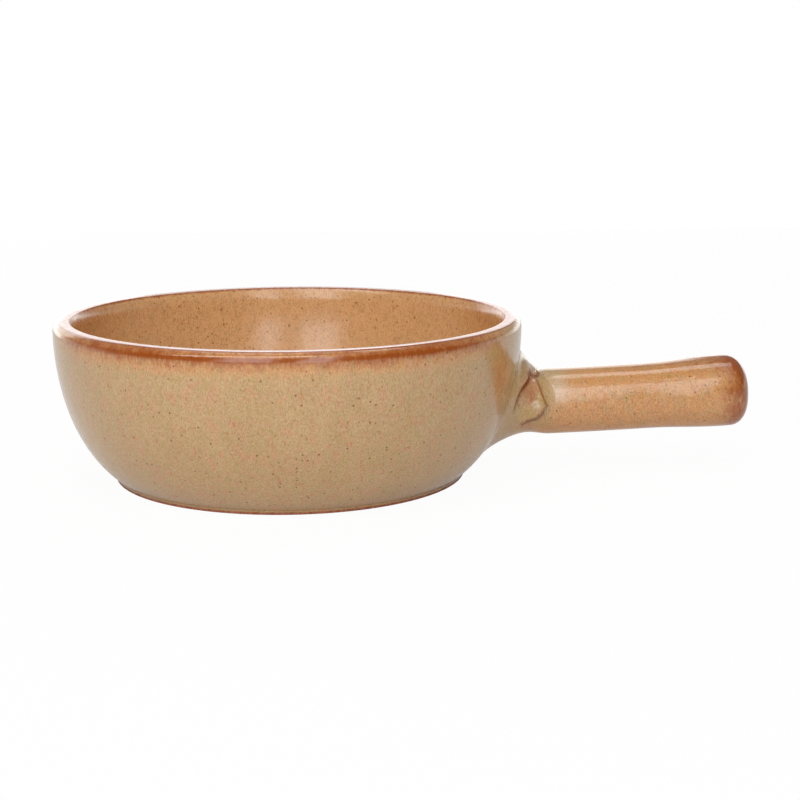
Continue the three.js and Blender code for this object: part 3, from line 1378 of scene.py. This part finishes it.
    def build(self, glaze: bpy.types.Material) -> None:
        """Smears the roll round the joint and glazes it.

        Args:
            glaze: Its material.
        """
        skin = Skin()
        skin.loft(self.rings(), closed=True)
        skin.paint(self.masks)
        dressed(skin.finished("luting_smear"), "luting_roll", glaze)


@dataclass(frozen=True)
class SlipBed:
    """The bed of slip between the handle's root and the wall, kept as the solid's own mesh."""

    node: str = "slip_bed"

    def dress(self, clay: bpy.types.Material) -> None:
        """Gives the slip its clay.

        Args:
            clay: Its material.
        """
        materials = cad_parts[self.node].data.materials
        materials.clear()
        materials.append(clay)
        log.info("%s: kept, with its own clay", self.node)


# ---- studio


@dataclass(frozen=True)
class Softbox:
    """A rectangular lamp that points level or straight down, sized in metres.

    The roll turns it about the way that it points, in degrees.
    """

    name: str
    place: Colour
    width: float
    height: float
    radiance: float
    roll: float = 0.0
    down: bool = False

    def build(self) -> None:
        """Hangs the lamp, with its power worked out from its radiance and its area."""
        data = bpy.data.lights.new(self.name, "AREA")
        data.shape = "RECTANGLE"
        data.size, data.size_y = self.width, self.height
        data.energy = self.radiance * math.pi * self.width * self.height
        lamp = bpy.data.objects.new(self.name, data)
        lamp.location = self.place
        lamp.visible_camera = False
        lamp.rotation_mode = "QUATERNION"
        x, y, z = self.place
        aim = Vector((x, y, 0.0) if self.down else (x, 0.0, z))
        aimed = (aim - Vector(self.place)).to_track_quat("-Z", "Y")
        lamp.rotation_quaternion = aimed @ Quaternion((0, 0, 1), math.radians(self.roll))
        bpy.context.scene.collection.objects.link(lamp)


@dataclass(frozen=True)
class Studio:
    """The plain white studio: floor, surroundings, softboxes and camera, in metres."""

    lamps: tuple[Softbox, ...]
    around: float = 0.3
    upwards: Ramp = Ramp(0.08, 0.2, 1.0, 0.25)
    backwards: Ramp = Ramp(-0.2, 0.3, 0.15, 1.0)
    floor_half: float = 1.25
    floor_drop: float = 0.0002
    floor_shade: float = 0.8
    floor_white: float = 0.96
    floor_gloss: float = 0.35
    camera_place: Colour = (0.0, -0.75403, 0.18395)
    camera_turn: Colour = (78.7404, 0.1087, -4.0174)
    camera_lens: float = 72.0

    @staticmethod
    def seen(nodes: Nodes, straight: float = 1.0, gloss: float = 1.0) -> Socket:
        """How bright a white thing looks: 0 for soft light.

        Args:
            nodes: The nodes of the floor or of the surroundings.
            straight: Its share for rays from the camera and through glass.
            gloss: Its share for rays from gloss.

        Returns:
            The greatest share of the three.
        """
        rays = nodes.add("LightPath", {}).outputs
        most = nodes.sum(Sum.TIMES, rays["Is Camera Ray"], straight)
        for name, share in (("Is Transmission Ray", straight), ("Is Glossy Ray", gloss)):
            most = nodes.sum(Sum.MOST, most, nodes.sum(Sum.TIMES, rays[name], share))
        return most

    def build_world(self) -> None:
        """Surroundings: white to the camera, dark in front and above in gloss, and soft light."""
        world = bpy.data.worlds.new("studio")
        world.use_nodes = True
        nodes = Nodes(world.node_tree)
        way = nodes.add("TexCoord", {}).outputs["Generated"]
        parts = nodes.add("SeparateXYZ", {0: way}).outputs
        upwards = nodes.ramp(parts["Z"], self.upwards)
        backwards = nodes.ramp(parts["Y"], self.backwards)
        camera = nodes.add("LightPath", {}).outputs["Is Camera Ray"]
        bright = nodes.sum(Sum.MOST, nodes.sum(Sum.TIMES, upwards, backwards), camera)
        soft, white = (
            nodes.add("Background", {"Color": WHITE, "Strength": strength}).outputs[0]
            for strength in (self.around, bright)
        )
        mixed = nodes.add("MixShader", {0: self.seen(nodes), 1: soft, 2: white}).outputs[0]
        nodes.add("OutputWorld", {"Surface": mixed})
        bpy.context.scene.world = world

    def build_floor(self) -> None:
        """White floor that is clear from below, and keeps a faint shadow."""
        mesh = bmesh.new()
        bmesh.ops.create_grid(mesh, x_segments=1, y_segments=1, size=self.floor_half)
        bmesh.ops.translate(mesh, verts=mesh.verts, vec=(0, 0, -self.floor_drop))
        data = bpy.data.meshes.new("floor")
        mesh.to_mesh(data)
        mesh.free()
        floor = bpy.data.objects.new("floor", data)
        bpy.context.scene.collection.objects.link(floor)
        material = bpy.data.materials.new("floor_white")
        material.use_nodes = True
        nodes = Nodes(material.node_tree)
        paint = nodes.add("BsdfDiffuse", {"Color": (self.floor_shade,) * 3}).outputs[0]
        glow = nodes.add("Emission", {}).outputs[0]
        seen = self.seen(nodes, self.floor_white, self.floor_gloss)
        top = nodes.add("MixShader", {0: seen, 1: paint, 2: glow}).outputs[0]
        below = nodes.add("NewGeometry", {}).outputs["Backfacing"]
        clear = nodes.add("BsdfTransparent", {}).outputs[0]
        sides = nodes.add("MixShader", {0: below, 1: top, 2: clear}).outputs[0]
        nodes.add("OutputMaterial", {"Surface": sides})
        floor.data.materials.append(material)

    def build_camera(self) -> None:
        """Camera at the photograph's height and angle."""
        data = bpy.data.cameras.new("camera")
        data.lens = self.camera_lens
        camera = bpy.data.objects.new("camera", data)
        camera.location = self.camera_place
        camera.rotation_euler = [math.radians(turn) for turn in self.camera_turn]
        bpy.context.scene.collection.objects.link(camera)
        bpy.context.scene.camera = camera

    def build(self) -> None:
        """Sets up the whole studio."""
        self.build_world()
        self.build_floor()
        for lamp in self.lamps:
            lamp.build()
        self.build_camera()
        bpy.context.scene.view_settings.view_transform = "Standard"


# ---- the pot


JOINT_STAINS = (
    Stain(Tint.OLIVE, (102.0, 52.0), (7.0, 8.0), strength=0.7),
    Stain(Tint.AMBER, (94.0, 56.0), (7.0, 22.0), strength=0.75),
    Stain(Tint.RUST, (94.5, 54.0), (6.0, 20.0), strength=0.5),
    Stain(Tint.OLIVE, (109.5, 32.0), (5.0, 7.0), strength=1.0),
    # pinkish glaze, and painted shade on the facet's top under the wall crease
    Stain(Tint.ROSE, (113.0, 41.0), (4.5, 8.5), strength=0.95),
    Stain(Tint.ROSE, (112.0, 23.0), (7.0, 3.0), strength=0.7),
    # painted light: honey lightens the shaded underside of the joint
    Stain(Tint.HONEY, (116.0, 19.0), (11.0, 6.0), strength=0.8),
    # painted shadow: a rust-brown patch under the tongue, at the top of the wall crease
    Stain(Tint.RUST, (112.8, 48.6), (1.6, 2.4), strength=1.0),
    # painted highlights: on the tongue, on the thumb's ball and on the handle beside the joint
    Stain(Tint.MILK, (114.3, 52.0), (2.0, 3.6), strength=0.9, lean=-0.5),
    Stain(Tint.MILK, (116.2, 33.6), (1.7, 1.7), strength=0.45),
    Stain(Tint.MILK, (127.0, 41.0), (5.0, 6.0), strength=0.3),
    Stain(Tint.RUST, (119.0, 41.0), (1.2, 3.0), strength=0.6, lean=-0.3),
)

WALL_CREASE = Crease(
    line=((0.2, -1.4), (0.7, 1.6), (1.2, 4.6), (1.8, 7.2), (3.0, 9.1), (4.3, 11.1), (6.7, 13.1),
          (8.6, 15.3), (9.4, 17.4), (10.0, 19.6), (10.6, 22.5), (11.2, 25.6)),
    raised=1.0,
    raised_width=4.0,
    pressed=1.8,
    pressed_width=5.0,
    edge=0.5,
    fade=0.25,
    # painted shade: this rim lies on the pressed side, a brown gradient down the facet under the
    # fold
    rim=0.75,
    rim_at=-1.4,
    rim_width=1.5,
)
THUMB_CREASE = Crease(
    line=((4.0, -7.8), (6.2, -6.6), (8.6, -5.3), (12.4, -4.7), (15.0, -2.4), (17.0, 0.6),
          (18.2, 3.4)),
    raised=1.5,
    raised_width=3.0,
    pressed=1.3,
    pressed_width=3.0,
    edge=0.5,
    shade=1.0,
    shade_width=0.95,
    rim=0.7,
)
FACET_EDGE = Crease(
    line=((17.8, 0.4), (17.2, 3.4), (16.0, 6.4), (15.0, 9.0), (14.0, 12.6), (13.4, 16.0)),
    raised=0.9,
    raised_width=2.6,
    pressed=0.0,
    pressed_width=3.0,
    edge=1.0,
    shade=0.0,
    rim=0.85,
    rim_at=0.4,
    rim_width=0.7,
)
TONGUE_TIP = Crease(
    line=((9.6, 17.6), (10.9, 16.1), (12.3, 15.6), (13.9, 15.6), (14.6, 17.5)),
    raised=1.1,
    raised_width=2.4,
    pressed=0.3,
    pressed_width=2.0,
    shade=0.6,
    # painted shade: this rim lies on the pressed side, a rust-brown line under the tongue's tip
    rim=0.8,
    rim_at=-1.0,
    rim_width=1.0,
)

THUMB_PRESSES = (
    Press((8.5, 4.5), (5.5, 11.0), lean=0.3, height=-1.6),
    Press((13.2, 1.6), (2.4, 2.6), lean=0.0, height=1.5),
)

SOFTBOXES = (
    Softbox("back_left", (-0.75, 1.35, 0.42), width=1.1, height=0.84, radiance=1.5),
    Softbox("back_middle", (0.0, 1.35, 0.575), width=0.4, height=0.53, radiance=2.6),
    Softbox("back_right", (0.34, 1.35, 0.36), width=0.28, height=0.72, radiance=1.4),
    Softbox("back_low", (0.89, 1.35, 0.18), width=0.82, height=0.36, radiance=0.9),
    Softbox("ceiling", (-0.16, 0.75, 1.25), width=0.7, height=1.5, radiance=1.2, down=True),
    Softbox("right_strip", (0.42, 0.35, 1.25), width=0.3, height=0.44, radiance=2.8, down=True),
    Softbox("end_strip", (0.47, -0.5, 1.25), width=0.1, height=1.2, radiance=1.6, down=True),
    Softbox("front_strip", (-0.56, -0.75, 1.25), width=1.68, height=0.28, radiance=6.1, down=True),
    Softbox("front_left", (-0.37, -1.0, 0.7), width=0.48, height=1.2, radiance=3.1),
    Softbox("front_right", (0.27, -1.0, 0.62), width=0.26, height=1.22, radiance=3.2, roll=-9.0),
)

BOWL_GLAZE = GlazeFinish("bowl_glaze", mottled=0.75, specked=0.8)
HANDLE_GLAZE = GlazeFinish("handle_glaze", freckled=0.95, mottled=0.6, specked=0.9)
JOINT_GLAZE = GlazeFinish("joint_glaze")


def main() -> None:
    """Builds the pot piece by piece, then the studio."""
    logging.basicConfig(level=logging.INFO, format="%(name)s %(message)s")
    bowl = Bowl(stains=JOINT_STAINS)
    handle = Handle(bowl, GripTints(JOINT_STAINS))
    roll = LutingRoll(
        handle,
        creases=(WALL_CREASE, THUMB_CREASE, FACET_EDGE, TONGUE_TIP),
        presses=THUMB_PRESSES,
    )
    bowl.build(BOWL_GLAZE.made())
    handle.build(HANDLE_GLAZE.made())
    roll.build(JOINT_GLAZE.made())
    SlipBed().dress(ClayFinish("bare_clay").made())
    Studio(lamps=SOFTBOXES).build()


if __name__ == "__main__":
    main()
